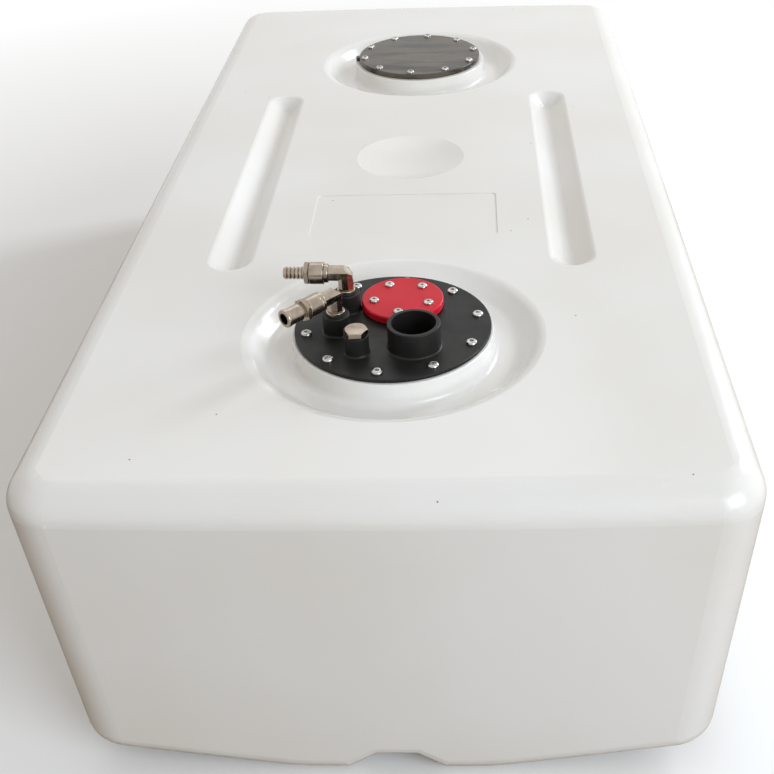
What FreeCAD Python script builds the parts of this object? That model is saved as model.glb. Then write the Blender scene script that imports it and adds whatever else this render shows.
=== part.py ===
import FreeCAD, Part
import math
import os

V = FreeCAD.Vector

# A rotomoulded fuel tank, in millimetres.
# The origin is the middle of the footprint, on the ground.
# X runs across the tank, Y along it away from the port plate's end, Z up.

# Tank body
tank_length = 1340.0
tank_width = 636.0
tank_height = 351.0
wall = 7.0
side_draft = 2.5
end_draft = 1.0
end_bow = 7.0
corner_radius = 44.0
top_edge_radius = 30.0
bottom_edge_radius = 24.0

# Underside: two level feet, slopes outside them, a channel between them
foot_half = 95.0
foot_slope = 8.5
foot_bend_radius = 200.0
channel_mouth = 103.0
channel_roof = 34.0
channel_depth = 24.0
channel_round = 8.0
channel_end_round = 16.0
channel_end_steps = 4

# A cut's lip leaves the flat face at this small angle, so it reads as soft
lip_angle = 10.0
lip_rise = 6.0
mouth_rise = 1.5

# Round recesses with a raised neck inside
recess_radius = 147.5
recess_floor_radius = 124.0
recess_depth = 20.0
recess_wall_angle = 50.0
recess_lip_round = 16.0
recess_floor_round = 14.0
neck_radius = 97.5
neck_rise = 4.4
neck_foot_round = 8.0
neck_edge_round = 1.0
hatch_radius = 75.5
front_neck_inset = 253.0
rear_neck_inset = 305.0
front_neck_y = front_neck_inset - tank_length / 2.0
rear_neck_y = tank_length / 2.0 - rear_neck_inset

# Long grooves, round dish and panel in the top
groove_inset = 133.0
groove_width = 51.0
groove_near_gap = 127.0
groove_far_gap = 134.0
groove_depth = 17.0
groove_floor = 6.0
groove_wall_angle = 40.0
groove_lip_round = 9.0
groove_floor_round = 7.0
dish_offset = 30.0
dish_radius = 68.0
dish_depth = 9.0
panel_gap = 257.0
panel_width = 212.0
panel_length = 107.0
panel_depth = 0.8
panel_corner = 6.0

# Places in the top that follow the sides and the necks
groove_x = tank_width / 2.0 - groove_inset
groove_near_y = front_neck_y + groove_near_gap
groove_far_y = rear_neck_y - groove_far_gap
dish_y = (front_neck_y + rear_neck_y) / 2.0 + dish_offset
panel_y = front_neck_y + panel_gap

# Ring of screws, the same on both necks
screw_ring_radius = 83.5
screw_count = 10
screw_phase = 11.0
insert_radius = 4.5
insert_length = 14.0
insert_gap = 0.05
thread_radius = 3.0
thread_gap = 0.05
screw_reach = 11.0
hole_gap = 0.3
head_radius = 5.25
head_height = 3.3
head_dome = 2.0
head_dome_round = 1.8
head_land = 2.6
socket_flats = 4.0
socket_depth = 2.0

# Port plate
gasket_thickness = 1.0
gasket_inset = 1.0
port_plate_radius = 95.0
port_plate_thickness = 3.0
port_plate_edge = 0.8
boss_radius = 13.0
plug_boss_radius = 11.5
boss_height = 19.5
boss_foot_round = 2.0
boss_edge_round = 0.8
stub_radius = 10.0
stub_length = 10.0
port_radius = 6.6
port_depth = 20.0
pipe_radius = 5.0
pipe_wall = 1.0
pipe_seat_depth = 8.0
pipe_gap = 0.05
throat_radius = 3.6
plug_place = (-30.8, -47.8)
supply_place = (-53.0, -10.4)
return_place = (-46.2, 31.1)
spigot_place = (22.2, -37.5)
spigot_radius = 25.0
spigot_bore_radius = 21.0
spigot_height = 25.0
spigot_foot_round = 2.0
spigot_lip_round = 1.0

# Level sender's opening and its red cover
sender_place = (8.0, 37.0)
sender_hole_radius = 21.0
sender_ring_radius = 33.0
sender_ring_depth = 6.0
sender_screw_ring = 28.3
sender_screw_count = 5
sender_screw_phase = 48.0
sender_screw_radius = 2.5
sender_screw_reach = 6.0
sender_head_radius = 4.75
sender_head_height = 2.8
sender_head_dome = 1.7
sender_head_dome_round = 1.5
sender_head_land = 2.3
sender_socket_flats = 3.0
sender_socket_depth = 1.6
sender_gasket_radius = 39.0
sender_gasket_thickness = 1.5
sender_cover_radius = 40.5
sender_cover_thickness = 7.0
sender_cover_edge = 1.8

# Blanking plug
plug_flats = 20.0
plug_head_height = 5.0
hexagon_edge_inset = 0.2
hexagon_edge_angle = 30.0
plug_thread_length = 10.0
seal_thickness = 1.0
seal_radius = 8.6
thread_fit = 0.05

# Swivel fittings, drawn with the stem on the Z axis and the arm along +X.
# Heights are measured from the top of the boss.
stem_collar_radius = 9.0
stem_collar_height = 3.0
stem_collar_edge = 0.6
stem_thread_length = 12.0
stem_bore_radius = 2.8
stem_pin_radius = 4.5
stem_pin_top = 16.0
swivel_gap = 0.05
swivel_lift = 0.1
clip_height = 7.0
clip_thickness = 1.0
clip_groove_depth = 0.7
clip_bite = 0.6
clip_open_angle = 30.0
oring_height = 11.0
oring_width = 1.6
oring_groove_depth = 0.8
arm_height = 20.5
elbow_sides = 8
elbow_flats = 14.0
elbow_corner_cut = 8.0
elbow_throat_radius = 3.2
pin_head_room = 0.3
arm_bore_radius = 4.0
arm_block_end = 16.2
shoulder_radius = 9.2
shoulder_edge = 0.7
shoulder_end = 20.3
union_radius = 8.0
union_end = 27.0
union_washer_thickness = 1.0
sleeve_start_gap = 0.1
sleeve_end = 34.3
sleeve_edge = 0.7
collar_start = 34.8
collar_end = 39.3
tail_end = 60.0
supply_sleeve_radius = 9.6
supply_collar_flats = 20.0
supply_tail_radius = 8.2
supply_bead_radius = 8.8
supply_bead_length = 4.0
supply_bead_ramp = 0.6
supply_barrel_round = 0.5
supply_tip_round = 1.2
supply_waist_radius = 6.9
supply_waist_length = 3.0
supply_tail_bore = 5.5
supply_arm_angle = 226.0
return_sleeve_radius = 10.8
return_collar_flats = 21.0
return_barb_radius = 6.2
return_root_radius = 5.0
return_barb_count = 5
return_barb_rise = 0.4
return_barb_land = 0.7
return_tail_land = 2.0
return_tail_bore = 3.4
return_arm_angle = 178.0

# Pipes inside the tank
pickup_foot_height = 44.0
return_pipe_length = 90.0
strainer_radius = 10.0
strainer_height = 30.0
strainer_wall = 1.2
strainer_overlap = 12.0
strainer_gap = 0.05
strainer_slot_count = 8
strainer_slot_width = 3.0
strainer_slot_height = 11.0

# Rear lid
rear_lid_radius = 91.5
rear_lid_thickness = 6.5
rear_lid_edge = 1.2
tab_angle = 181.0
tab_width = 9.0
tab_reach = 5.0
tab_height = 5.0

# Heights that follow
neck_top = tank_height + neck_rise
plate_floor = neck_top + gasket_thickness
plate_top = plate_floor + port_plate_thickness
boss_top = plate_top + boss_height
lid_top = plate_floor + rear_lid_thickness

# Room that cutting shapes run past what they cut, and depth that joined shapes share
reach_over = 60.0
margin = 5.0
merge_depth = 2.0
same_place = 1e-4


def tan(degrees):
    return math.tan(math.radians(degrees))


def sin(degrees):
    return math.sin(math.radians(degrees))


def cos(degrees):
    return math.cos(math.radians(degrees))


# Shapes that the sub-parts share

def disc(radius, low, high, place=(0.0, 0.0)):
    return Part.makeCylinder(radius, high - low, V(place[0], place[1], low))


def ring(outer, inner, low, high, place=(0.0, 0.0)):
    return disc(outer, low, high, place).cut(disc(inner, low - margin, high + margin, place))


def on_circle(radius, degrees, centre=(0.0, 0.0)):
    return (centre[0] + radius * cos(degrees), centre[1] + radius * sin(degrees))


def circle_places(radius, count, phase, centre=(0.0, 0.0)):
    return [on_circle(radius, phase + step * 360.0 / count, centre) for step in range(count)]


def rounded_face(corners):
    """A face in the XZ plane from corners (x, z, rounding radius)."""
    points = [V(x, 0.0, z) for x, z, radius in corners]
    ends = []
    for index, (x, z, radius) in enumerate(corners):
        corner = points[index]
        if radius <= 0.0:
            ends.append((corner, None, corner))
            continue
        back = (points[index - 1] - corner).normalize()
        ahead = (points[(index + 1) % len(points)] - corner).normalize()
        half = math.acos(max(-1.0, min(1.0, back.dot(ahead)))) / 2.0
        middle = (back + ahead).normalize()
        start = corner + back * (radius / math.tan(half))
        finish = corner + ahead * (radius / math.tan(half))
        crown = corner + middle * (radius / math.sin(half) - radius)
        ends.append((start, crown, finish))
    edges = []
    for index, (start, crown, finish) in enumerate(ends):
        if crown is not None:
            edges.append(Part.Arc(start, crown, finish).toShape())
        following = ends[(index + 1) % len(ends)][0]
        if (following - finish).Length > same_place:
            edges.append(Part.LineSegment(finish, following).toShape())
    return Part.Face(Part.Wire(edges))


def turned(corners, place=(0.0, 0.0), sweep=360.0):
    """A solid of revolution about Z from a half profile of (radius, z, rounding)."""
    solid = rounded_face(corners).revolve(V(0, 0, 0), V(0, 0, 1), sweep)
    solid.translate(V(place[0], place[1], 0.0))
    return solid


def prism(sides, flats, low, high, place=(0.0, 0.0), turn=0.0):
    """A regular prism about Z; turn is the angle of its first corner."""
    radius = flats / 2.0 / cos(180.0 / sides)
    corners = []
    for x, y in circle_places(radius, sides, turn, place):
        corners.append(V(x, y, low))
    outline = Part.makePolygon(corners + [corners[0]])
    return Part.Face(outline).extrude(V(0, 0, high - low))


def level_edges(solid, height):
    """The edges that lie at one height."""
    chosen = []
    for edge in solid.Edges:
        box = edge.BoundBox
        if abs(box.ZMin - height) < same_place and abs(box.ZMax - height) < same_place:
            chosen.append(edge)
    return chosen


# Tank shell

def plan_outline(height, inset):
    """The tank's plan at one height: straight sides, bowed ends, round corners."""
    drop = tank_height - height
    half_width = tank_width / 2.0 - drop * tan(side_draft) - inset
    half_length = tank_length / 2.0 - drop * tan(end_draft) - inset
    bow_radius = ((tank_width / 2.0) ** 2 + end_bow ** 2) / (2.0 * end_bow) - inset
    round_radius = corner_radius - inset
    bow_centre = half_length - bow_radius
    round_x = half_width - round_radius
    round_y = bow_centre + math.sqrt((bow_radius - round_radius) ** 2 - round_x ** 2)
    reach = V(round_x, round_y - bow_centre, 0.0).normalize()
    bow_x = reach.x * bow_radius
    bow_y = bow_centre + reach.y * bow_radius
    diagonal = (reach + V(1, 0, 0)).normalize() * round_radius

    def at(x, y):
        return V(x, y, height)

    def arc(start, middle, finish):
        return Part.Arc(at(*start), at(*middle), at(*finish)).toShape()

    crown_x = round_x + diagonal.x
    crown_y = round_y + diagonal.y
    edges = [
        Part.LineSegment(at(half_width, -round_y), at(half_width, round_y)).toShape(),
        arc((half_width, round_y), (crown_x, crown_y), (bow_x, bow_y)),
        arc((bow_x, bow_y), (0.0, half_length), (-bow_x, bow_y)),
        arc((-bow_x, bow_y), (-crown_x, crown_y), (-half_width, round_y)),
        Part.LineSegment(at(-half_width, round_y), at(-half_width, -round_y)).toShape(),
        arc((-half_width, -round_y), (-crown_x, -crown_y), (-bow_x, -bow_y)),
        arc((-bow_x, -bow_y), (0.0, -half_length), (bow_x, -bow_y)),
        arc((bow_x, -bow_y), (crown_x, -crown_y), (half_width, -round_y)),
    ]
    return Part.Wire(edges)


def along_tank(face):
    """A profile in the XZ plane, drawn out past both ends of the tank."""
    reach = tank_length / 2.0 + reach_over
    face.translate(V(0, -reach, 0))
    return face.extrude(V(0, 2.0 * reach, 0))


def underside_tool(inset):
    far = tank_width / 2.0 + reach_over
    foot = foot_half - inset * tan(foot_slope / 2.0)
    bend = foot_bend_radius - inset
    rise = inset + (far - foot) * tan(foot_slope)
    return along_tank(rounded_face([
        (-far, rise, 0.0),
        (-foot, inset, bend),
        (foot, inset, bend),
        (far, rise, 0.0),
        (far, -reach_over, 0.0),
        (-far, -reach_over, 0.0),
    ]))


def channel_profile(growth):
    """The channel's section, grown outwards by the given amount."""
    wall_angle = math.degrees(math.atan2(channel_depth, (channel_mouth - channel_roof) / 2.0))
    mouth_height = growth + mouth_rise
    roof = channel_roof / 2.0 + growth * tan(wall_angle / 2.0)
    mouth = channel_mouth / 2.0 + growth / sin(wall_angle) - mouth_height / tan(wall_angle)
    brim = mouth + lip_rise / tan(lip_angle)
    return [
        (-brim, mouth_height - lip_rise, 0.0),
        (-mouth, mouth_height, channel_round),
        (-roof, channel_depth + growth, channel_round),
        (roof, channel_depth + growth, channel_round),
        (mouth, mouth_height, channel_round),
        (brim, mouth_height - lip_rise, 0.0),
        (brim, -reach_over, 0.0),
        (-brim, -reach_over, 0.0),
    ]


def channel_bell(inset):
    """The rounded mouth of the channel at the far end of the tank."""
    end_y = tank_length / 2.0 - tank_height * tan(end_draft) - inset
    bell = []
    for step in range(channel_end_steps + 1):
        angle = 90.0 * step / channel_end_steps
        growth = inset + channel_end_round * (1.0 - cos(angle))
        bell.append((growth, end_y - channel_end_round * (1.0 - sin(angle))))
    bell.append((inset + channel_end_round, end_y + reach_over))
    sections = []
    for growth, y in bell:
        section = rounded_face(channel_profile(growth))
        section.translate(V(0, y, 0))
        sections.append(section.OuterWire)
    return Part.makeLoft(sections, True, True)


def channel_tools(inset):
    far_bell = channel_bell(inset)
    near_bell = far_bell.mirror(V(0, 0, 0), V(0, 1, 0))
    return [along_tank(rounded_face(channel_profile(inset))), far_bell, near_bell]


def lip_corners(edge_radius, floor_radius, floor_height, wall_angle, rounds, inset):
    """Floor corner, lip corner and brim of a cut in the top face."""
    top = tank_height - inset
    wall_foot = floor_radius + inset * tan(wall_angle / 2.0)
    lip_line = edge_radius + inset * tan(wall_angle / 2.0)
    # where the wall meets the lip's line, which crosses the top face at lip_line
    slope = tan(lip_angle)
    steep = tan(wall_angle)
    lip_x = (floor_height - top + slope * lip_line - steep * wall_foot) / (slope - steep)
    lip_z = floor_height + (lip_x - wall_foot) * steep
    brim = lip_line + lip_rise / slope
    return [
        (wall_foot, floor_height, rounds[0] + inset),
        (lip_x, lip_z, rounds[1] - inset),
        (brim, top + lip_rise, 0.0),
        (brim, top + reach_over, 0.0),
    ]


def recess_tool(place_y, inset):
    top = tank_height - inset
    floor = tank_height - recess_depth - inset
    rounds = (recess_floor_round, recess_lip_round)
    outside = lip_corners(recess_radius, recess_floor_radius, floor, recess_wall_angle, rounds, inset)
    if inset > 0.0:
        inside = [(0.0, top + reach_over, 0.0), (0.0, floor, 0.0)]
    else:
        inside = [(neck_radius, top + reach_over, 0.0), (neck_radius, floor, neck_foot_round)]
    return turned(inside + outside, (0.0, place_y))


def groove_tool(place_x, inset):
    floor = tank_height - groove_depth - inset
    rounds = (groove_floor_round, groove_lip_round)
    half = lip_corners(groove_width / 2.0, groove_floor / 2.0, floor, groove_wall_angle, rounds, inset)
    near = groove_near_y + groove_width / 2.0
    far = groove_far_y - groove_width / 2.0
    mirrored = [(-x, z, radius) for x, z, radius in reversed(half)]
    middle = rounded_face(mirrored + half).extrude(V(0, far - near, 0))
    middle.translate(V(place_x, near, 0))
    top = tank_height - inset + reach_over
    end_profile = [(0.0, top, 0.0), (0.0, floor, 0.0)] + half
    near_end = turned(end_profile, (place_x, near), -180.0)
    far_end = turned(end_profile, (place_x, far), 180.0)
    return middle.multiFuse([near_end, far_end])


def dish_tool(inset):
    ball_radius = (dish_radius ** 2 + dish_depth ** 2) / (2.0 * dish_depth)
    centre = V(0, dish_y, tank_height - dish_depth + ball_radius)
    return Part.makeSphere(ball_radius + inset, centre)


def tank_form(inset):
    """The tank's outer form, or with an inset the cavity inside its wall."""
    low = plan_outline(-margin, inset)
    high = plan_outline(tank_height - inset, inset)
    form = Part.makeLoft([low, high], True, True)
    form = form.cut(underside_tool(inset))
    form = form.makeFillet(top_edge_radius - inset, level_edges(form, tank_height - inset))
    form = form.makeFillet(bottom_edge_radius - inset, underside_edges(form))
    tools = channel_tools(inset) + [
        recess_tool(front_neck_y, inset),
        recess_tool(rear_neck_y, inset),
        groove_tool(-groove_x, inset),
        groove_tool(groove_x, inset),
        dish_tool(inset),
    ]
    for tool in tools:
        form = form.cut(tool)
    return form


def underside_edges(form):
    """The edges where the underside meets the sides and the ends."""
    under = []
    around = []
    for face in form.Faces:
        u_low, u_high, v_low, v_high = face.ParameterRange
        normal = face.normalAt((u_low + u_high) / 2.0, (v_low + v_high) / 2.0)
        if normal.z < -cos(2.0 * foot_slope):
            under.append(face)
        elif normal.z < sin(45.0):
            around.append(face)
    chosen = []
    for face in under:
        for edge in face.Edges:
            if any(edge.isSame(other) for side in around for other in side.Edges):
                chosen.append(edge)
    return chosen


def panel_tool():
    tool = Part.makeBox(panel_width, panel_length, reach_over,
                        V(-panel_width / 2.0, panel_y - panel_length / 2.0, tank_height - panel_depth))
    upright = [edge for edge in tool.Edges if edge.BoundBox.ZLength > panel_depth]
    return tool.makeFillet(panel_corner, upright)


def neck_crown(place_y):
    crown = disc(neck_radius, tank_height - neck_rise, neck_top, (0.0, place_y))
    return crown.makeFillet(neck_edge_round, level_edges(crown, neck_top))


def tank_shell():
    shell = tank_form(0.0).cut(tank_form(wall))
    shell = shell.fuse(neck_crown(front_neck_y)).fuse(neck_crown(rear_neck_y)).removeSplitter()
    shell = shell.cut(panel_tool())
    for place_y in (front_neck_y, rear_neck_y):
        shell = shell.cut(disc(hatch_radius, tank_height / 2.0, neck_top + reach_over, (0.0, place_y)))
        for place in screw_places(place_y):
            shell = shell.cut(disc(insert_radius + insert_gap, neck_top - insert_length - insert_gap,
                                   neck_top + margin, place))
    return shell


# Screws and inserts

def screw_places(place_y):
    return circle_places(screw_ring_radius, screw_count, screw_phase, (0.0, place_y))


def sender_screw_places():
    centre = (sender_place[0], front_neck_y + sender_place[1])
    return circle_places(sender_screw_ring, sender_screw_count, sender_screw_phase, centre)


def button_screw(seat, place, shank, reach, head, height, dome, dome_round, land, flats, depth):
    """A button-head socket screw that sits on a face at the height seat."""
    body = turned([
        (0.0, seat - reach, 0.0),
        (shank, seat - reach, 0.0),
        (shank, seat, 0.0),
        (head, seat, 0.0),
        (head, seat + height - dome, dome_round),
        (land, seat + height, 0.0),
        (0.0, seat + height, 0.0),
    ], place)
    socket = prism(6, flats, seat + height - depth, seat + height + depth, place)
    return body.cut(socket)


def ring_screws(place_y, seat):
    shank_reach = seat - neck_top + screw_reach
    screws = []
    for place in screw_places(place_y):
        screws.append(button_screw(seat, place, thread_radius, shank_reach, head_radius, head_height,
                                   head_dome, head_dome_round, head_land, socket_flats, socket_depth))
    return Part.makeCompound(screws)


def ring_inserts(place_y):
    inserts = []
    for place in screw_places(place_y):
        inserts.append(ring(insert_radius, thread_radius + thread_gap,
                            neck_top - insert_length, neck_top, place))
    return Part.makeCompound(inserts)


def ring_gasket(place_y, outer):
    gasket = ring(outer, hatch_radius + gasket_inset, neck_top, plate_floor, (0.0, place_y))
    for place in screw_places(place_y):
        gasket = gasket.cut(disc(thread_radius + hole_gap, neck_top - margin, plate_floor + margin, place))
    return gasket


# Port plate with its bosses and the filler spigot

def boss_place(place):
    return (place[0], front_neck_y + place[1])


def port_boss(place, radius):
    """A round boss on the plate, with a fillet round its foot."""
    return turned([
        (0.0, plate_floor + port_plate_thickness / 2.0, 0.0),
        (radius + 2.0 * boss_foot_round, plate_floor + port_plate_thickness / 2.0, 0.0),
        (radius + 2.0 * boss_foot_round, plate_top, 0.0),
        (radius, plate_top, boss_foot_round),
        (radius, boss_top, boss_edge_round),
        (0.0, boss_top, 0.0),
    ], place)


def filler_spigot(place):
    top = plate_top + spigot_height
    return turned([
        (0.0, plate_floor + port_plate_thickness / 2.0, 0.0),
        (spigot_radius + 2.0 * spigot_foot_round, plate_floor + port_plate_thickness / 2.0, 0.0),
        (spigot_radius + 2.0 * spigot_foot_round, plate_top, 0.0),
        (spigot_radius, plate_top, spigot_foot_round),
        (spigot_radius, top, spigot_lip_round),
        (0.0, top, 0.0),
    ], place)


def port_plate():
    centre = (0.0, front_neck_y)
    plate = disc(port_plate_radius, plate_floor, plate_top, centre)
    plate = plate.makeFillet(port_plate_edge, level_edges(plate, plate_top))
    added = [filler_spigot(boss_place(spigot_place))]
    added.append(port_boss(boss_place(plug_place), plug_boss_radius))
    for place in (supply_place, return_place):
        added.append(port_boss(boss_place(place), boss_radius))
    for place in (supply_place, return_place):
        added.append(disc(stub_radius, plate_floor - stub_length, plate_floor, boss_place(place)))
    added.append(disc(sender_ring_radius, plate_floor - sender_ring_depth, plate_floor,
                      boss_place(sender_place)))
    plate = plate.multiFuse(added).removeSplitter()
    low = plate_floor - stub_length
    cuts = [
        disc(spigot_bore_radius, low, plate_top + 2.0 * spigot_height, boss_place(spigot_place)),
        disc(sender_hole_radius, low, plate_top + boss_height, boss_place(sender_place)),
    ]
    for place in (plug_place, supply_place, return_place):
        cuts.append(disc(port_radius, boss_top - port_depth, boss_top + margin, boss_place(place)))
    for place in (supply_place, return_place):
        cuts.append(disc(throat_radius, low, boss_top, boss_place(place)))
        cuts.append(disc(pipe_radius + pipe_gap, low - margin, low + pipe_seat_depth, boss_place(place)))
    for place in screw_places(front_neck_y):
        cuts.append(disc(thread_radius + hole_gap, low, plate_top + margin, place))
    for place in sender_screw_places():
        cuts.append(disc(sender_screw_radius + thread_gap, low, plate_top + margin, place))
    for cut in cuts:
        plate = plate.cut(cut)
    return plate


def sender_gasket():
    seat = plate_top + sender_gasket_thickness
    gasket = ring(sender_gasket_radius, sender_hole_radius, plate_top, seat, boss_place(sender_place))
    for place in sender_screw_places():
        gasket = gasket.cut(disc(sender_screw_radius + hole_gap, plate_top - margin, seat + margin, place))
    return gasket


def sender_cover():
    low = plate_top + sender_gasket_thickness
    high = low + sender_cover_thickness
    cover = disc(sender_cover_radius, low, high, boss_place(sender_place))
    cover = cover.makeFillet(sender_cover_edge, level_edges(cover, high))
    for place in sender_screw_places():
        cover = cover.cut(disc(sender_screw_radius + hole_gap, low - margin, high + margin, place))
    return cover


def sender_screws():
    seat = plate_top + sender_gasket_thickness + sender_cover_thickness
    reach = seat - plate_top + sender_screw_reach
    screws = []
    for place in sender_screw_places():
        screws.append(button_screw(seat, place, sender_screw_radius, reach, sender_head_radius,
                                   sender_head_height, sender_head_dome, sender_head_dome_round,
                                   sender_head_land, sender_socket_flats, sender_socket_depth))
    return Part.makeCompound(screws)


def seal_washer(place):
    return ring(seal_radius, port_radius + thread_fit, boss_top, boss_top + seal_thickness,
                boss_place(place))


def turned_hexagon(flats, low, high, both_ends):
    """A hexagon about Z whose corners are turned off at its ends."""
    blank = prism(6, flats, low, high)
    corner = flats / 2.0 / cos(180.0 / 6)
    edge = flats / 2.0 - hexagon_edge_inset
    drop = (corner - edge) * tan(hexagon_edge_angle)
    profile = [(0.0, low, 0.0)]
    if both_ends:
        profile += [(edge, low, 0.0), (corner, low + drop, 0.0)]
    else:
        profile += [(corner, low, 0.0)]
    profile += [(corner, high - drop, 0.0), (edge, high, 0.0), (0.0, high, 0.0)]
    return blank.common(turned(profile))


def blanking_plug():
    low = boss_top + seal_thickness
    head = turned_hexagon(plug_flats, low, low + plug_head_height, False)
    thread = disc(port_radius - thread_fit, boss_top - plug_thread_length, low)
    plug = head.fuse(thread).removeSplitter()
    place = boss_place(plug_place)
    plug.translate(V(place[0], place[1], 0.0))
    return plug


# Swivel fittings

def placed(shape, place, angle):
    """Turns a fitting's piece to its arm's angle and stands it on its boss."""
    where = boss_place(place)
    shape.rotate(V(0, 0, 0), V(0, 0, 1), angle)
    shape.translate(V(where[0], where[1], boss_top))
    return shape


def along_arm(shape):
    """Lays a piece that was turned about Z along the arm, at the arm's height."""
    shape.rotate(V(0, 0, 0), V(0, 1, 0), 90.0)
    shape.translate(V(0, 0, arm_height))
    return shape


def groove_ring(outer, inner, low, height):
    return ring(outer, inner, low, low + height)


def stem():
    base = seal_thickness
    body = turned([
        (stem_bore_radius, -stem_thread_length, 0.0),
        (port_radius - thread_fit, -stem_thread_length, 0.0),
        (port_radius - thread_fit, base, 0.0),
        (stem_collar_radius, base, stem_collar_edge),
        (stem_collar_radius, base + stem_collar_height, stem_collar_edge),
        (stem_pin_radius, base + stem_collar_height, 0.0),
        (stem_pin_radius, stem_pin_top, 0.0),
        (stem_bore_radius, stem_pin_top, 0.0),
    ])
    clip_slot = groove_ring(stem_collar_radius, stem_pin_radius - clip_groove_depth,
                            clip_height - swivel_lift, clip_thickness + 2.0 * swivel_lift)
    ring_slot = groove_ring(stem_collar_radius, stem_pin_radius - oring_groove_depth,
                            oring_height - swivel_lift, oring_width + 2.0 * swivel_lift)
    return body.cut(clip_slot).cut(ring_slot)


def swivel_oring():
    return groove_ring(stem_pin_radius, stem_pin_radius - oring_groove_depth, oring_height, oring_width)


def swivel_clip():
    profile = [
        (stem_pin_radius - clip_groove_depth + swivel_gap, clip_height, 0.0),
        (stem_pin_radius + swivel_gap + clip_bite, clip_height, 0.0),
        (stem_pin_radius + swivel_gap + clip_bite, clip_height + clip_thickness, 0.0),
        (stem_pin_radius - clip_groove_depth + swivel_gap, clip_height + clip_thickness, 0.0),
    ]
    return turned(profile, sweep=360.0 - clip_open_angle)


def elbow():
    """An eight-sided elbow, mitred, with its outer corner cut off, bored both ways."""
    foot = seal_thickness + stem_collar_height + swivel_lift
    half = elbow_flats / 2.0
    leg = prism(elbow_sides, elbow_flats, foot, arm_height + half, turn=180.0 / elbow_sides)
    arm = along_arm(prism(elbow_sides, elbow_flats, -half, arm_block_end, turn=180.0 / elbow_sides))
    beyond_mitre = Part.makeBox(reach_over, 2.0 * reach_over, 2.0 * reach_over,
                                V(0.0, -reach_over, -reach_over))
    beyond_mitre.rotate(V(0, 0, 0), V(0, 1, 0), -45.0)
    beyond_mitre.translate(V(0.0, 0.0, arm_height))
    block = leg.cut(beyond_mitre).fuse(arm.common(beyond_mitre)).removeSplitter()
    corner = Part.makeBox(elbow_flats, 2.0 * elbow_flats, elbow_flats,
                          V(-elbow_flats, -elbow_flats, 0.0))
    corner.rotate(V(0, 0, 0), V(0, 1, 0), 45.0)
    corner.translate(V(-half, 0.0, arm_height + half - elbow_corner_cut))
    block = block.cut(corner)
    shoulder = along_arm(turned([
        (0.0, arm_block_end, 0.0),
        (shoulder_radius, arm_block_end, shoulder_edge),
        (shoulder_radius, shoulder_end, shoulder_edge),
        (union_radius, shoulder_end, 0.0),
        (union_radius, union_end, 0.0),
        (0.0, union_end, 0.0),
    ]))
    block = block.fuse(shoulder).removeSplitter()
    block = block.cut(disc(stem_pin_radius + swivel_gap, 0.0, stem_pin_top + pin_head_room))
    block = block.cut(disc(elbow_throat_radius, 0.0, arm_height))
    block = block.cut(along_arm(disc(arm_bore_radius, 0.0, union_end + margin)))
    clip_slot = groove_ring(stem_pin_radius + swivel_gap + clip_bite + swivel_gap, stem_pin_radius,
                            clip_height - swivel_gap, clip_thickness + 2.0 * swivel_gap)
    return block.cut(clip_slot)


def union_sleeve(radius):
    start = shoulder_end + sleeve_start_gap
    return along_arm(turned([
        (union_radius + thread_fit, start, 0.0),
        (radius, start, sleeve_edge),
        (radius, sleeve_end, sleeve_edge),
        (union_radius + thread_fit, sleeve_end, 0.0),
    ]))


def union_washer(bore):
    return along_arm(ring(union_radius, bore, union_end, union_end + union_washer_thickness))


def tail_root(flats, bore):
    """The tail's spigot inside the sleeve and its hexagon collar."""
    start = union_end + union_washer_thickness
    collar = turned_hexagon(flats, collar_start, collar_end, True)
    return collar.fuse(disc(union_radius, start, collar_start + merge_depth))


def supply_tail():
    waist_end = collar_end + supply_waist_length
    bead_start = tail_end - supply_bead_length
    barrel = turned([
        (0.0, collar_end - merge_depth, 0.0),
        (supply_waist_radius, collar_end - merge_depth, 0.0),
        (supply_waist_radius, waist_end, 0.0),
        (supply_tail_radius, waist_end, supply_barrel_round),
        (supply_tail_radius, bead_start, 0.0),
        (supply_bead_radius, bead_start + supply_bead_ramp, supply_barrel_round),
        (supply_bead_radius, tail_end, supply_tip_round),
        (0.0, tail_end, 0.0),
    ])
    tail = tail_root(supply_collar_flats, supply_tail_bore).fuse(barrel).removeSplitter()
    return along_arm(tail.cut(disc(supply_tail_bore, 0.0, tail_end + margin)))


def return_tail():
    """A hose tail with a row of barbs that grow towards the collar."""
    start = collar_end + return_tail_land
    pitch = (tail_end - start) / return_barb_count
    profile = [(0.0, collar_end - merge_depth, 0.0), (return_root_radius, collar_end - merge_depth, 0.0)]
    for step in range(return_barb_count):
        foot = start + step * pitch
        profile.append((return_root_radius, foot, 0.0))
        profile.append((return_barb_radius, foot + return_barb_rise, 0.0))
        profile.append((return_barb_radius, foot + return_barb_rise + return_barb_land, 0.0))
    profile.append((return_root_radius, tail_end, 0.0))
    profile.append((0.0, tail_end, 0.0))
    tail = tail_root(return_collar_flats, return_tail_bore).fuse(turned(profile)).removeSplitter()
    return along_arm(tail.cut(disc(return_tail_bore, 0.0, tail_end + margin)))


# Pipes inside the tank

def inner_pipe(place, foot):
    head = plate_floor - stub_length + pipe_seat_depth
    return ring(pipe_radius, pipe_radius - pipe_wall, foot, head, boss_place(place))


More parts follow.
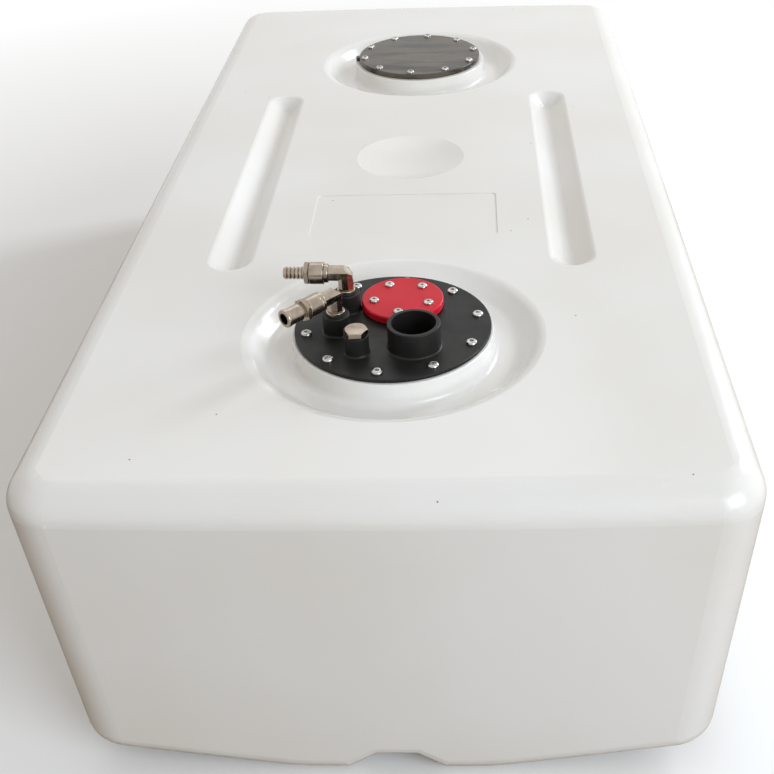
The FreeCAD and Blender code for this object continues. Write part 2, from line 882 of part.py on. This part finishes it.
def supply_strainer():
    """A cup with slots round its side, pushed over the pick-up pipe's foot."""
    place = boss_place(supply_place)
    low = pickup_foot_height + strainer_overlap - strainer_height
    top = pickup_foot_height + strainer_overlap
    cup = disc(strainer_radius, low, top, place)
    cup = cup.cut(disc(strainer_radius - strainer_wall, low + strainer_wall, pickup_foot_height, place))
    cup = cup.cut(disc(pipe_radius + strainer_gap, low + strainer_wall, top + margin, place))
    for slot in range(strainer_slot_count):
        window = Part.makeBox(2.0 * strainer_radius, strainer_slot_width, strainer_slot_height,
                              V(0.0, -strainer_slot_width / 2.0, low + 2.0 * strainer_wall))
        window.rotate(V(0, 0, 0), V(0, 0, 1), slot * 360.0 / strainer_slot_count)
        window.translate(V(place[0], place[1], 0.0))
        cup = cup.cut(window)
    return cup


# Rear lid

def rear_lid():
    centre = (0.0, rear_neck_y)
    lid = disc(rear_lid_radius, plate_floor, lid_top, centre)
    lid = lid.makeFillet(rear_lid_edge, level_edges(lid, lid_top))
    tab = Part.makeBox(2.0 * tab_reach, tab_width, tab_height,
                       V(rear_lid_radius - tab_reach, -tab_width / 2.0, plate_floor))
    upright = [edge for edge in tab.Edges
               if edge.BoundBox.ZLength > tab_height / 2.0 and edge.CenterOfMass.x > rear_lid_radius]
    tab = tab.makeFillet(tab_width / 4.0, upright)
    tab.rotate(V(0, 0, 0), V(0, 0, 1), tab_angle)
    tab.translate(V(0.0, rear_neck_y, 0.0))
    lid = lid.fuse(tab).removeSplitter()
    for place in screw_places(rear_neck_y):
        lid = lid.cut(disc(thread_radius + hole_gap, plate_floor - margin, lid_top + margin, place))
    return lid


def build():
    nodes = {
        "tank_shell": tank_shell(),
        "front_inserts": ring_inserts(front_neck_y),
        "front_gasket": ring_gasket(front_neck_y, port_plate_radius - gasket_inset),
        "port_plate": port_plate(),
        "front_screws": ring_screws(front_neck_y, plate_top),
        "sender_gasket": sender_gasket(),
        "sender_cover": sender_cover(),
        "sender_screws": sender_screws(),
        "plug_seal": seal_washer(plug_place),
        "blanking_plug": blanking_plug(),
        "supply_pipe": inner_pipe(supply_place, pickup_foot_height),
        "supply_strainer": supply_strainer(),
        "return_pipe": inner_pipe(return_place, plate_floor - return_pipe_length),
        "rear_inserts": ring_inserts(rear_neck_y),
        "rear_gasket": ring_gasket(rear_neck_y, rear_lid_radius - gasket_inset),
        "rear_lid": rear_lid(),
        "rear_screws": ring_screws(rear_neck_y, lid_top),
    }
    fittings = (
        ("supply", supply_place, supply_arm_angle, supply_sleeve_radius, supply_tail, supply_tail_bore),
        ("return", return_place, return_arm_angle, return_sleeve_radius, return_tail, return_tail_bore),
    )
    for name, place, angle, sleeve_radius, tail, bore in fittings:
        nodes[name + "_seal"] = seal_washer(place)
        nodes[name + "_stem"] = placed(stem(), place, angle)
        nodes[name + "_oring"] = placed(swivel_oring(), place, angle)
        nodes[name + "_clip"] = placed(swivel_clip(), place, angle)
        nodes[name + "_elbow"] = placed(elbow(), place, angle)
        nodes[name + "_sleeve"] = placed(union_sleeve(sleeve_radius), place, angle)
        nodes[name + "_washer"] = placed(union_washer(bore), place, angle)
        nodes[name + "_tail"] = placed(tail(), place, angle)
    return nodes


os.makedirs("parts", exist_ok=True)
for name, shape in build().items():
    shape.exportStep("parts/" + name + ".step")
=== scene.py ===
import math

import bmesh
import bpy
from mathutils import Matrix, Vector


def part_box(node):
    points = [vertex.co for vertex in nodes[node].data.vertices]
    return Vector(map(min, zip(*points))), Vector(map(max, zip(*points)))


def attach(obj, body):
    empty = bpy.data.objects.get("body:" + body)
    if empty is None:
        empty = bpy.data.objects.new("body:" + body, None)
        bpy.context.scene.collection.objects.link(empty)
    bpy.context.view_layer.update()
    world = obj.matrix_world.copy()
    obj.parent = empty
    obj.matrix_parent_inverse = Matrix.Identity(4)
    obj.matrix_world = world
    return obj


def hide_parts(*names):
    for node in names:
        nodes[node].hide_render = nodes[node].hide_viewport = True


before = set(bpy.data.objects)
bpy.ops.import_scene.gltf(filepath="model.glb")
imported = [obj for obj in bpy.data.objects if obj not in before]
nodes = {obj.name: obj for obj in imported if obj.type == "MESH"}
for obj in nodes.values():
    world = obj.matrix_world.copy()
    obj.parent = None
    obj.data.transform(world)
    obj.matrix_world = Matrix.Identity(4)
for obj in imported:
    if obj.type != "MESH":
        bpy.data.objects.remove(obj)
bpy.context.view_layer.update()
mm = 0.001      # the frame is in metres
plainWhite = (1.0, 1.0, 1.0, 1.0)


# the photograph's view; the shift puts the lens axis a little right of the middle
photoView = {
    "place": (0.0766, -1.3496, 0.9325),
    "turn": 2.65,       # degrees to the left
    "down": 34.72,      # degrees below level
    "roll": -2.15,
    "lens": 52.81,
    "sensor": 36.0,
    "shiftX": -0.0556,
}


def addCamera(view):
    data = bpy.data.cameras.new("photoCamera")
    data.sensor_width = view["sensor"]
    data.lens = view["lens"]
    data.shift_x = view["shiftX"]
    camera = bpy.data.objects.new("photoCamera", data)
    bpy.context.collection.objects.link(camera)
    turn = Matrix.Rotation(math.radians(view["turn"]), 4, "Z")
    tilt = Matrix.Rotation(math.radians(90.0 - view["down"]), 4, "X")
    roll = Matrix.Rotation(math.radians(view["roll"]), 4, "Z")
    camera.matrix_world = Matrix.Translation(view["place"]) @ turn @ tilt @ roll
    bpy.context.scene.camera = camera


addCamera(photoView)
print("camera placed")


# small helpers for shader and geometry trees; links give the sockets that feed a new node

def addNode(tree, kind, settings=None, inputs=None, links=None):
    node = tree.nodes.new(kind)
    for name, value in (settings or {}).items():
        setattr(node, name, value)
    for name, value in (inputs or {}).items():
        node.inputs[name].default_value = value
    for name, source in (links or {}).items():
        tree.links.new(source, node.inputs[name])
    return node


def newFinish(name):
    finish = bpy.data.materials.new(name)
    finish.use_nodes = True
    tree = finish.node_tree
    return finish, tree, tree.nodes["Principled BSDF"]


def objectPlace(tree):
    return addNode(tree, "ShaderNodeTexCoord").outputs["Object"]


def noise(tree, place, scale, detail, rough=0.5):
    sizes = {"Scale": scale, "Detail": detail, "Roughness": rough}
    return addNode(tree, "ShaderNodeTexNoise", None, sizes, {"Vector": place}).outputs["Fac"]


def ramp(tree, source, stops):
    node = addNode(tree, "ShaderNodeValToRGB", links={"Fac": source})
    for element, (position, colour) in zip(node.color_ramp.elements, stops):
        element.position = position
        element.color = (*colour, 1.0)
    return node.outputs["Color"]


def spread(tree, source, low, high, fromLow=0.3, fromHigh=0.7):
    limits = {"From Min": fromLow, "From Max": fromHigh, "To Min": low, "To Max": high}
    return addNode(tree, "ShaderNodeMapRange", None, limits, {"Value": source}).outputs["Result"]


def stretched(tree, place, sizes):
    node = addNode(tree, "ShaderNodeMapping", None, {"Scale": sizes}, {"Vector": place})
    return node.outputs["Vector"]


def blend(tree, factor, under, colour):
    node = addNode(tree, "ShaderNodeMix", {"data_type": "RGBA"}, {"B": (*colour, 1.0)},
                   {"Factor": factor, "A": under})
    return node.outputs["Result"]


def specks(tree, place, scale, radius, core):
    cells = addNode(tree, "ShaderNodeTexVoronoi", None, {"Scale": scale}, {"Vector": place})
    reach = radius * scale
    return spread(tree, cells.outputs["Distance"], 1.0, 0.0, reach * core, reach)


def bump(tree, height, depth, strength, below=None):
    links = {"Height": height}
    if below:
        links["Normal"] = below
    sizes = {"Distance": depth, "Strength": strength}
    return addNode(tree, "ShaderNodeBump", None, sizes, links).outputs["Normal"]


def glossRange(tree, source, look):
    return spread(tree, source, look["roughness"] - look["smoother"],
                  look["roughness"] + look["rougher"])


def maths(tree, operation, first, second):
    node = addNode(tree, "ShaderNodeMath", {"operation": operation}, None, {0: first, 1: second})
    return node.outputs[0]


def mixShader(tree, factor, under, over):
    links = {"Fac": factor, 1: under, 2: over}
    return addNode(tree, "ShaderNodeMixShader", links=links).outputs[0]


# milky natural polyethylene, rotomoulded: soft gloss, faint orange peel, broad uneven tone
milkyTank = {
    "cream": (0.79, 0.768, 0.722),
    "pale": (0.825, 0.812, 0.785),
    "toneScale": 4.0,
    "toneDetail": 2.0,
    "toneFrom": 0.35,
    "toneTo": 0.62,
    "peelScale": 70.0,
    "peelDetail": 2.0,
    "peelDepth": 0.00004,
    "peelStrength": 0.3,
    "waveScale": 7.0,
    "waveDetail": 1.0,
    "waveDepth": 0.0009,
    "waveStrength": 0.5,
    "roughness": 0.20,
    "glossScale": 8.0,
    "glossDetail": 2.0,
    "smoother": 0.03,
    "rougher": 0.06,
    "speckScale": 22.0,
    "speckRadius": 0.0011,
    "speckCore": 0.6,       # share of the radius that is fully dark
    "speck": (0.24, 0.19, 0.15),
    "glow": 0.18,           # light that goes into the wall and out again
    "glowDepth": 0.012,
    "glowReach": (1.0, 0.85, 0.65),
    "ior": 1.5,
}


def milkyFinish(look):
    finish, tree, shader = newFinish("milkyPolyethylene")
    place = objectPlace(tree)
    clouds = noise(tree, place, look["toneScale"], look["toneDetail"])
    tone = ramp(tree, clouds, [(look["toneFrom"], look["cream"]), (look["toneTo"], look["pale"])])
    dust = specks(tree, place, look["speckScale"], look["speckRadius"], look["speckCore"])
    dirty = blend(tree, dust, tone, look["speck"])
    tree.links.new(dirty, shader.inputs["Base Color"])
    wave = bump(tree, noise(tree, place, look["waveScale"], look["waveDetail"]),
                look["waveDepth"], look["waveStrength"])
    peel = bump(tree, noise(tree, place, look["peelScale"], look["peelDetail"]),
                look["peelDepth"], look["peelStrength"], wave)
    tree.links.new(peel, shader.inputs["Normal"])
    gloss = glossRange(tree, noise(tree, place, look["glossScale"], look["glossDetail"]), look)
    tree.links.new(gloss, shader.inputs["Roughness"])
    shader.inputs["Subsurface Weight"].default_value = look["glow"]
    shader.inputs["Subsurface Radius"].default_value = look["glowReach"]
    shader.inputs["Subsurface Scale"].default_value = look["glowDepth"]
    shader.inputs["IOR"].default_value = look["ior"]
    return finish


# colour in two tones, uneven gloss and a fine grain, for mouldings and metals alike
def addSurface(tree, shader, look):
    place = objectPlace(tree)
    clouds = noise(tree, place, look["toneScale"], look["toneDetail"])
    tone = ramp(tree, clouds, [(look["toneFrom"], look["deep"]), (look["toneTo"], look["light"])])
    tree.links.new(tone, shader.inputs["Base Color"])
    gloss = glossRange(tree, noise(tree, place, look["glossScale"], look["glossDetail"]), look)
    tree.links.new(gloss, shader.inputs["Roughness"])
    grain = bump(tree, noise(tree, place, look["grainScale"], look["grainDetail"]),
                 look["grainDepth"], look["grainStrength"])
    tree.links.new(grain, shader.inputs["Normal"])


moulding = {
    "toneScale": 22.0,
    "toneDetail": 5.0,
    "toneFrom": 0.35,
    "toneTo": 0.75,
    "glossScale": 45.0,
    "glossDetail": 5.0,
    "smoother": 0.06,
    "rougher": 0.1,
    "grainScale": 900.0,
    "grainDetail": 2.0,
    "grainDepth": 0.00004,
    "grainStrength": 0.5,
}
blackMoulding = {
    **moulding,
    "deep": (0.009, 0.009, 0.009),
    "light": (0.019, 0.017, 0.015),
    "roughness": 0.40,
    "ior": 1.30,
}
redMoulding = {
    **moulding,
    "deep": (0.58, 0.006, 0.020),
    "light": (0.64, 0.012, 0.030),
    "roughness": 0.34,
    "ior": 1.30,
}
sealRubber = {
    **moulding,
    "deep": (0.018, 0.018, 0.018),
    "light": (0.03, 0.03, 0.03),
    "roughness": 0.7,
    "ior": 1.5,
}


def mouldedFinish(name, look):
    finish, tree, shader = newFinish(name)
    addSurface(tree, shader, look)
    shader.inputs["IOR"].default_value = look["ior"]
    return finish


# glossy black lid, with brownish streaks across it painted into its colour as a painted
# reflection; the same streaks vary its gloss
glossyLid = {
    "dark": (0.012, 0.010, 0.008),
    # brown is the painted reflection in the lid's colour, dark is the lid's own black
    "brown": (0.108, 0.090, 0.068),
    "toneFrom": 0.34,
    "toneTo": 0.56,
    "streaks": (9.0, 42.0, 42.0),
    "streakDetail": 4.0,
    "streakRough": 0.6,
    "roughness": 0.16,
    "smoother": 0.06,
    "rougher": 0.14,
    "sagScale": 26.0,
    "sagDetail": 1.0,
    "sagDepth": 0.0003,
    "sagStrength": 0.5,
    "ior": 1.32,
}


def lidFinish(look):
    finish, tree, shader = newFinish("blackLid")
    place = objectPlace(tree)
    across = stretched(tree, place, look["streaks"])
    paintedReflectionStreaks = noise(tree, across, 1.0, look["streakDetail"], look["streakRough"])
    # painted reflection: the streaks run from the lid's black to brown in the base colour
    tone = ramp(tree, paintedReflectionStreaks, [(look["toneFrom"], look["dark"]), (look["toneTo"], look["brown"])])
    tree.links.new(tone, shader.inputs["Base Color"])
    tree.links.new(glossRange(tree, paintedReflectionStreaks, look), shader.inputs["Roughness"])
    sag = bump(tree, noise(tree, place, look["sagScale"], look["sagDetail"]),
               look["sagDepth"], look["sagStrength"])
    tree.links.new(sag, shader.inputs["Normal"])
    shader.inputs["IOR"].default_value = look["ior"]
    return finish


metal = {
    "toneScale": 60.0,
    "toneDetail": 4.0,
    "toneFrom": 0.3,
    "toneTo": 0.65,
    "glossScale": 300.0,
    "glossDetail": 4.0,
    "smoother": 0.05,
    "rougher": 0.09,
    "grainScale": 1500.0,
    "grainDetail": 2.0,
    "grainDepth": 0.00003,
    "grainStrength": 0.4,
}
turnedBrass = {
    **metal,
    "deep": (0.60, 0.43, 0.18),
    "light": (0.72, 0.55, 0.25),
    "roughness": 0.28,
}
stainlessSteel = {
    **metal,
    "deep": (0.36, 0.35, 0.33),
    "light": (0.60, 0.59, 0.565),
    "roughness": 0.24,
}
springSteel = {
    **metal,
    "deep": (0.36, 0.36, 0.37),
    "light": (0.5, 0.5, 0.51),
    "roughness": 0.3,
}
brightNickel = {
    **metal,
    "deep": (0.27, 0.225, 0.175),
    "light": (0.46, 0.395, 0.32),
    "roughness": 0.2,
}
drawnAluminium = {
    **metal,
    "deep": (0.62, 0.63, 0.64),
    "light": (0.75, 0.76, 0.77),
    "roughness": 0.32,
}


def metalFinish(name, look):
    finish, tree, shader = newFinish(name)
    addSurface(tree, shader, look)
    shader.inputs["Metallic"].default_value = 1.0
    return finish


finishes = {
    "natural_polyethylene": milkyFinish(milkyTank),
    "black_plastic": mouldedFinish("blackMoulding", blackMoulding),
    "black_lid_plastic": lidFinish(glossyLid),
    "red_plastic": mouldedFinish("redMoulding", redMoulding),
    "seal_rubber": mouldedFinish("sealRubber", sealRubber),
    "brass": metalFinish("turnedBrass", turnedBrass),
    "stainless_steel": metalFinish("stainlessSteel", stainlessSteel),
    "spring_steel": metalFinish("springSteel", springSteel),
    "nickel_plate": metalFinish("brightNickel", brightNickel),
    "aluminium_pipe": metalFinish("drawnAluminium", drawnAluminium),
}

nodeSlots = {name: node.material_slots[0].material.name for name, node in nodes.items()}
for name, node in nodes.items():
    node.material_slots[0].material = finishes[nodeSlots[name]]
print("finishes given to", len(nodes), "frame nodes")


# button-head screws with a hexagon socket, in millimetres
# heights count from the seat under the head
plateScrew = {
    "headRadius": 5.25,
    "headHeight": 3.3,
    "rimHeight": 1.3,
    "landRadius": 2.75,     # flat top round the socket
    "socketFlats": 4.0,
    "socketDepth": 2.0,
    "threadRadius": 3.0,
    "threadPitch": 1.0,
    "threadDepth": 0.5,
}
coverScrew = {
    "headRadius": 4.75,
    "headHeight": 2.8,
    "rimHeight": 1.1,
    "landRadius": 2.3,
    "socketFlats": 3.0,
    "socketDepth": 1.6,
    "threadRadius": 2.5,
    "threadPitch": 0.8,
    "threadDepth": 0.4,
}
screwShape = {
    "faces": 48,            # round each screw, a multiple of six for the socket
    "domeSteps": 8,
    "rowsPerTurn": 4,       # rows of faces to one turn of the thread
    "edgeBreak": 0.18,      # small chamfers on the rim and the socket's mouth and floor
    "plainShank": 2.0,      # no thread close under the head
    "coneDepth": 0.6,       # drill point under the socket
    "sharpFrom": 32.0,      # degrees between two faces that make a sharp edge
}


# the rows of points from the tip up over the head and down into the socket
def screwRows(size, shape, reach):
    broken = shape["edgeBreak"]
    shank, pitch = size["threadRadius"], size["threadPitch"]
    head, land = size["headRadius"], size["landRadius"]
    top, rim = size["headHeight"], size["rimHeight"]
    flat = size["socketFlats"] / 2.0
    corner = size["socketFlats"] / math.sqrt(3.0)
    floor = top - size["socketDepth"]
    turns = int((reach - shape["plainShank"]) / pitch)
    rows = [("round", shank - size["threadDepth"], -reach)]
    for row in range(1, turns * shape["rowsPerTurn"]):
        rows.append(("thread", shank, -reach + row * pitch / shape["rowsPerTurn"]))
    rows += [
        ("round", shank, -shape["plainShank"]),
        ("round", shank, 0.0),
        ("round", head - broken, 0.0),
        ("round", head, broken),
    ]
    for step in range(shape["domeSteps"] + 1):
        lift = math.radians(90.0 * step / shape["domeSteps"])
        rows.append(("round", land + (head - land) * math.cos(lift),
                     rim + (top - rim) * math.sin(lift)))
    rows += [
        ("round", corner + broken, top),
        ("hexagon", flat, top - broken),
        ("hexagon", flat, floor),
        ("round", flat - broken, floor),
    ]
    return rows


def rowRadius(kind, radius, height, turn, size):
    if kind == "hexagon":
        alongFlat = (turn * 6.0) % 1.0 - 0.5
        return radius / math.cos(math.radians(60.0 * alongFlat))
    if kind == "thread":
        valley = abs(2.0 * ((height / size["threadPitch"] - turn) % 1.0) - 1.0)
        return radius - size["threadDepth"] * valley
    return radius


def screwMesh(name, size, shape, reach):
    rows = screwRows(size, shape, reach)
    form = bmesh.new()
    tip = form.verts.new((0.0, 0.0, -reach * mm))
    loops = []
    for kind, radius, height in rows:
        loop = []
        for step in range(shape["faces"]):
            turn = step / shape["faces"]
            out = rowRadius(kind, radius, height, turn, size)
            angle = math.tau * turn
            point = (out * math.cos(angle) * mm, out * math.sin(angle) * mm, height * mm)
            loop.append(form.verts.new(point))
        loops.append(loop)
    drill = rows[-1][2] - shape["coneDepth"]
    bottom = form.verts.new((0.0, 0.0, drill * mm))
    for step in range(shape["faces"]):
        ahead = (step + 1) % shape["faces"]
        form.faces.new((tip, loops[0][ahead], loops[0][step]))
        for low, high in zip(loops, loops[1:]):
            form.faces.new((low[step], low[ahead], high[ahead], high[step]))
        form.faces.new((bottom, loops[-1][step], loops[-1][ahead]))
    mesh = bpy.data.meshes.new(name)
    form.to_mesh(mesh)
    form.free()
    return mesh


ringInputs = {
    "Screw": "NodeSocketObject",
    "Ring Radius": "NodeSocketFloat",
    "Count": "NodeSocketInt",
    "First Angle": "NodeSocketFloat",
    "Centre": "NodeSocketVector",
    "Seed": "NodeSocketInt",
}


# a ring of screws, each turned by chance about its own axis
def screwRingTree(finish):
    tree = bpy.data.node_groups.new("screwRing", "GeometryNodeTree")
    for name, kind in ringInputs.items():
        tree.interface.new_socket(name, in_out="INPUT", socket_type=kind)
    tree.interface.new_socket("Geometry", in_out="OUTPUT", socket_type="NodeSocketGeometry")
    given = addNode(tree, "NodeGroupInput").outputs
    circle = addNode(tree, "GeometryNodeMeshCircle",
                     links={"Vertices": given["Count"], "Radius": given["Ring Radius"]})
    phase = addNode(tree, "ShaderNodeCombineXYZ", links={"Z": given["First Angle"]})
    placed = addNode(tree, "GeometryNodeTransform", links={
        "Geometry": circle.outputs["Mesh"],
        "Translation": given["Centre"],
        "Rotation": phase.outputs["Vector"],
    })
    screw = addNode(tree, "GeometryNodeObjectInfo", links={"Object": given["Screw"]})
    chance = addNode(tree, "FunctionNodeRandomValue", {"data_type": "FLOAT"},
                     {"Max": math.tau}, {"Seed": given["Seed"]})
    spin = addNode(tree, "ShaderNodeCombineXYZ", links={"Z": chance.outputs["Value"]})
    stand = addNode(tree, "GeometryNodeInstanceOnPoints", links={
        "Points": placed.outputs["Geometry"],
        "Instance": screw.outputs["Geometry"],
        "Rotation": spin.outputs["Vector"],
    })
    real = addNode(tree, "GeometryNodeRealizeInstances",
                   links={"Geometry": stand.outputs["Instances"]})
    coat = addNode(tree, "GeometryNodeSetMaterial", None, {"Material": finish},
                   {"Geometry": real.outputs["Geometry"]})
    addNode(tree, "NodeGroupOutput", links={"Geometry": coat.outputs["Geometry"]})
    return tree


def fillInputs(modifier, values):
    for item in modifier.node_group.interface.items_tree:
        if item.in_out == "INPUT" and item.name in values:
            modifier[item.identifier] = values[item.name]


# the modifier's result as a plain mesh
def settled(piece):
    shown = bpy.context.evaluated_depsgraph_get()
    mesh = bpy.data.meshes.new_from_object(piece.evaluated_get(shown), depsgraph=shown)
    piece.modifiers.clear()
    piece.data = mesh
    return mesh


def addScrewRing(name, node, size, ring, tree):
    low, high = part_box(node)
    seat = high.z - size["headHeight"] * mm
    reach = (seat - low.z) / mm
    patternMesh = screwMesh(name + "Pattern", size, screwShape, reach)
    pattern = bpy.data.objects.new(name + "Pattern", patternMesh)
    piece = bpy.data.objects.new(name, bpy.data.meshes.new(name))
    bpy.context.collection.objects.link(piece)
    modifier = piece.modifiers.new("ring", "NODES")
    modifier.node_group = tree
    fillInputs(modifier, {
        "Screw": pattern,
        "Ring Radius": ring["radius"] * mm,
        "Count": ring["count"],
        "First Angle": math.radians(ring["firstAngle"]),
        "Centre": (ring["centre"].x, ring["centre"].y, seat),
        "Seed": ring["seed"],
    })
    mesh = settled(piece)
    mesh.shade_smooth()
    mesh.set_sharp_from_angle(angle=math.radians(screwShape["sharpFrom"]))
    bpy.data.objects.remove(pattern)
    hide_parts(node)
    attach(piece, "tank")
    print(name, "has", ring["count"], "screws and", len(mesh.polygons), "faces")


def middle(node):
    low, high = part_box(node)
    return (low + high) / 2.0


# radius in millimetres, the first screw's angle in degrees
neckRing = {"radius": 83.5, "count": 10, "firstAngle": 11.0}
plateRing = {**neckRing, "centre": middle("front_screws"), "seed": 3}
lidRing = {**neckRing, "centre": middle("rear_screws"), "seed": 8}
coverRing = {"radius": 28.3, "count": 5, "firstAngle": 48.0,
             "centre": middle("sender_cover"), "seed": 5}

screwTree = screwRingTree(finishes["stainless_steel"])
addScrewRing("plateScrewRing", "front_screws", plateScrew, plateRing, screwTree)
addScrewRing("lidScrewRing", "rear_screws", plateScrew, lidRing, screwTree)
addScrewRing("coverScrewRing", "sender_screws", coverScrew, coverRing, screwTree)
print("pieces made")


# pale floor that goes over to white, a soft sky, and three soft lights
studio = {
    "floorSize": 30.0,
    "floorDrop": 0.0002,    # just under the tank's base, so the two don't share a plane
    "floorSeen": (0.93, 0.93, 0.92),
    "floorBounce": (0.35, 0.285, 0.22),
    "floorRoughness": 0.9,
    "floorSpecular": 0.1,
    "fadeFrom": 0.95,       # metres from the middle; plain white from fadeTo on
    "fadeTo": 2.1,
    "skyStrength": 0.53,
    "skyColour": (1.0, 0.970, 0.940),
}


def addFloor(look):
    half, level = look["floorSize"] / 2.0, -look["floorDrop"]
    corners = [(-half, -half, level), (half, -half, level),
               (half, half, level), (-half, half, level)]
    mesh = bpy.data.meshes.new("floor")
    mesh.from_pydata(corners, [], [(0, 1, 2, 3)])
    floor = bpy.data.objects.new("floor", mesh)
    bpy.context.collection.objects.link(floor)
    finish, tree, shader = newFinish("paleFloor")
    rays = addNode(tree, "ShaderNodeLightPath").outputs
    colour = addNode(tree, "ShaderNodeMix", {"data_type": "RGBA"},
                     {"A": (*look["floorBounce"], 1.0), "B": (*look["floorSeen"], 1.0)},
                     {"Factor": rays["Is Camera Ray"]})
    tree.links.new(colour.outputs["Result"], shader.inputs["Base Color"])
    shader.inputs["Roughness"].default_value = look["floorRoughness"]
    shader.inputs["Specular IOR Level"].default_value = look["floorSpecular"]
    away = addNode(tree, "ShaderNodeVectorMath", {"operation": "LENGTH"}, None,
                   {0: objectPlace(tree)})
    fade = spread(tree, away.outputs["Value"], 0.0, 1.0, look["fadeFrom"], look["fadeTo"])
    seen = maths(tree, "MAXIMUM", rays["Is Camera Ray"], rays["Is Glossy Ray"])
    share = maths(tree, "MULTIPLY", fade, seen)
    white = addNode(tree, "ShaderNodeEmission", None, {"Color": plainWhite, "Strength": 1.0})
    both = mixShader(tree, share, shader.outputs[0], white.outputs[0])
    tree.links.new(both, tree.nodes["Material Output"].inputs["Surface"])
    mesh.materials.append(finish)


# white to the camera, in reflections and through clear pieces; softly warm to everything else
def addWorld(look):
    world = bpy.data.worlds.new("softSky")
    bpy.context.scene.world = world
    world.use_nodes = True
    tree = world.node_tree
    sky = tree.nodes["Background"]
    sky.inputs["Color"].default_value = (*look["skyColour"], 1.0)
    sky.inputs["Strength"].default_value = look["skyStrength"]
    white = addNode(tree, "ShaderNodeBackground", None, {"Color": plainWhite, "Strength": 1.0})
    rays = addNode(tree, "ShaderNodeLightPath").outputs
    seen = maths(tree, "MAXIMUM", rays["Is Camera Ray"], rays["Is Glossy Ray"])
    clear = maths(tree, "MAXIMUM", seen, rays["Is Transmission Ray"])
    both = mixShader(tree, clear, sky.outputs[0], white.outputs[0])
    tree.links.new(both, tree.nodes["World Output"].inputs["Surface"])


# places in metres, power in watts
softLights = [
    {
        "name": "ceilingLight",
        "place": (-0.5, 1.7, 2.6),
        "aim": (0.0, 0.1, 0.2),
        "size": (2.4, 1.2),
        "power": 8.0,
        "colour": (1.0, 0.99, 0.97),
    },
    {
        "name": "doorLight",
        "place": (2.1, -2.5, 1.5),
        "aim": (0.1, -0.4, 0.2),
        "size": (1.8, 1.8),
        "power": 70.0,
        "colour": (0.81, 0.90, 1.0),
    },
    {
        "name": "windowLight",
        "place": (2.5, 1.9, 1.7),
        "aim": (0.0, 0.1, 0.33),
        "size": (0.8, 1.5),
        "power": 58.0,
        "colour": (0.90, 0.95, 1.0),
    },
]


def addLight(light):
    lamp = bpy.data.lights.new(light["name"], "AREA")
    lamp.shape = "RECTANGLE"
    lamp.size, lamp.size_y = light["size"]
    lamp.energy = light["power"]
    lamp.color = light["colour"]
    holder = bpy.data.objects.new(light["name"], lamp)
    bpy.context.collection.objects.link(holder)
    holder.location = light["place"]
    facing = Vector(light["aim"]) - Vector(light["place"])
    holder.rotation_euler = facing.to_track_quat("-Z", "Y").to_euler()


addFloor(studio)
addWorld(studio)
for light in softLights:
    addLight(light)
bpy.context.scene.view_settings.view_transform = "Standard"
print("stage and light ready")
